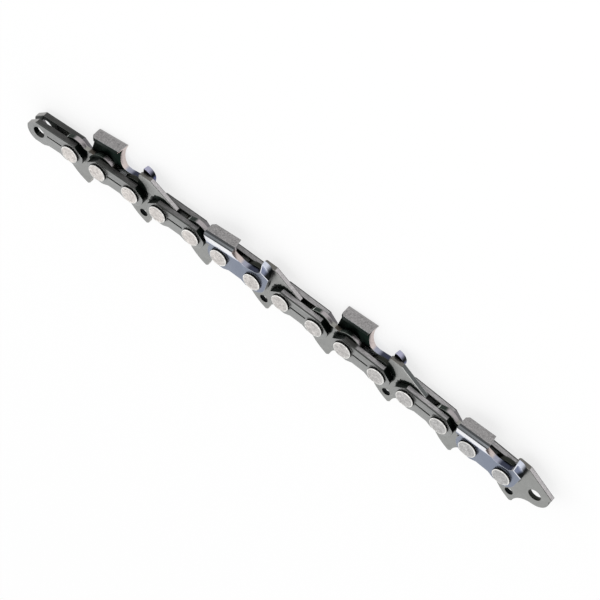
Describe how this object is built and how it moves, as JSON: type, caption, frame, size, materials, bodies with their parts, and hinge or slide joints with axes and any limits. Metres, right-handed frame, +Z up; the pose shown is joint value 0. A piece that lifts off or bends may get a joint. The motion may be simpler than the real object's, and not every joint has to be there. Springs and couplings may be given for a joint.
{
  "type": "saw chain length",
  "caption": "Joinable length of low-profile saw chain: cutters on alternate sides, tie straps, plain and bumper drive links, free to bend at each rivet.",
  "frame": {"origin": "centre of the open rear rivet hole, midway between the two rear tie straps", "axes": "+X along the chain in its direction of travel, +Y towards the cutting edges, +Z along the rivets to the right-hand side; the chain lies on its left-hand side with Z up"},
  "size_m": [0.1567, 0.0213, 0.0076],
  "materials": {
    "strap_steel": "satin rolled",
    "drive_steel": "satin rolled",
    "rivet_steel": "spun satin",
    "cutter_chrome": "satin hard chrome"
  },
  "bodies": {
    "link_1": {"left_tie_strap_1": "strap_steel", "right_tie_strap_1": "strap_steel", "rivet_1": "rivet_steel"},
    "drive_1": {"drive_link_1": "drive_steel"},
    "link_2": {"left_cutter_2": "cutter_chrome", "right_tie_strap_2": "strap_steel", "rivet_2": "rivet_steel", "rivet_3": "rivet_steel"},
    "drive_2": {"bumper_link_2": "drive_steel"},
    "link_3": {"left_tie_strap_3": "strap_steel", "right_tie_strap_3": "strap_steel", "rivet_4": "rivet_steel", "rivet_5": "rivet_steel"},
    "drive_3": {"drive_link_3": "drive_steel"},
    "link_4": {"left_tie_strap_4": "strap_steel", "right_cutter_4": "cutter_chrome", "rivet_6": "rivet_steel", "rivet_7": "rivet_steel"},
    "drive_4": {"bumper_link_4": "drive_steel"},
    "link_5": {"left_tie_strap_5": "strap_steel", "right_tie_strap_5": "strap_steel", "rivet_8": "rivet_steel", "rivet_9": "rivet_steel"},
    "drive_5": {"drive_link_5": "drive_steel"},
    "link_6": {"left_cutter_6": "cutter_chrome", "right_tie_strap_6": "strap_steel", "rivet_10": "rivet_steel", "rivet_11": "rivet_steel"},
    "drive_6": {"bumper_link_6": "drive_steel"},
    "link_7": {"left_tie_strap_7": "strap_steel", "right_tie_strap_7": "strap_steel", "rivet_12": "rivet_steel", "rivet_13": "rivet_steel"},
    "drive_7": {"drive_link_7": "drive_steel"},
    "link_8": {"left_tie_strap_8": "strap_steel", "right_cutter_8": "cutter_chrome", "rivet_14": "rivet_steel", "rivet_15": "rivet_steel"},
    "drive_8": {"bumper_link_8": "drive_steel"}
  },
  "joints": [
    {"name": "hinge_1", "type": "hinge", "parent": "drive_1", "child": "link_1", "pos_m": [0.00999, 0.00105, 0], "axis": [0, 0, 1], "range_deg": [-14.8, 25.2]},
    {"name": "hinge_2", "type": "hinge", "parent": "link_2", "child": "drive_1", "pos_m": [0.01855, 0.00183, 0], "axis": [0, 0, 1], "range_deg": [-14.8, 25.2]},
    {"name": "hinge_3", "type": "hinge", "parent": "drive_2", "child": "link_2", "pos_m": [0.02856, 0.0026, 0], "axis": [0, 0, 1], "range_deg": [-14.8, 25.2]},
    {"name": "hinge_4", "type": "hinge", "parent": "link_3", "child": "drive_2", "pos_m": [0.03714, 0.00314, 0], "axis": [0, 0, 1], "range_deg": [-14.8, 25.2]},
    {"name": "hinge_5", "type": "hinge", "parent": "drive_3", "child": "link_3", "pos_m": [0.04717, 0.00363, 0], "axis": [0, 0, 1], "range_deg": [-14.8, 25.2]},
    {"name": "hinge_6", "type": "hinge", "parent": "link_4", "child": "drive_3", "pos_m": [0.05577, 0.00393, 0], "axis": [0, 0, 1], "range_deg": [-14.8, 25.2]},
    {"name": "hinge_7", "type": "hinge", "parent": "drive_4", "child": "link_4", "pos_m": [0.0658, 0.00414, 0], "axis": [0, 0, 1], "range_deg": [-14.8, 25.2]},
    {"name": "hinge_8", "type": "hinge", "parent": "link_5", "child": "drive_4", "pos_m": [0.0744, 0.0042, 0], "axis": [0, 0, 1], "range_deg": [-14.8, 25.2]},
    {"name": "hinge_9", "type": "hinge", "parent": "link_5", "child": "drive_5", "pos_m": [0.08444, 0.00413, 0], "axis": [0, 0, 1], "range_deg": [-25.2, 14.8]},
    {"name": "hinge_10", "type": "hinge", "parent": "drive_5", "child": "link_6", "pos_m": [0.09304, 0.00395, 0], "axis": [0, 0, 1], "range_deg": [-25.2, 14.8]},
    {"name": "hinge_11", "type": "hinge", "parent": "link_6", "child": "drive_6", "pos_m": [0.10308, 0.0036, 0], "axis": [0, 0, 1], "range_deg": [-25.2, 14.8]},
    {"name": "hinge_12", "type": "hinge", "parent": "drive_6", "child": "link_7", "pos_m": [0.11166, 0.00318, 0], "axis": [0, 0, 1], "range_deg": [-25.2, 14.8]},
    {"name": "hinge_13", "type": "hinge", "parent": "link_7", "child": "drive_7", "pos_m": [0.12169, 0.00255, 0], "axis": [0, 0, 1], "range_deg": [-25.2, 14.8]},
    {"name": "hinge_14", "type": "hinge", "parent": "drive_7", "child": "link_8", "pos_m": [0.13026, 0.00189, 0], "axis": [0, 0, 1], "range_deg": [-25.2, 14.8]},
    {"name": "hinge_15", "type": "hinge", "parent": "link_8", "child": "drive_8", "pos_m": [0.14026, 0.00098, 0], "axis": [0, 0, 1], "range_deg": [-25.2, 14.8]}
  ]
}
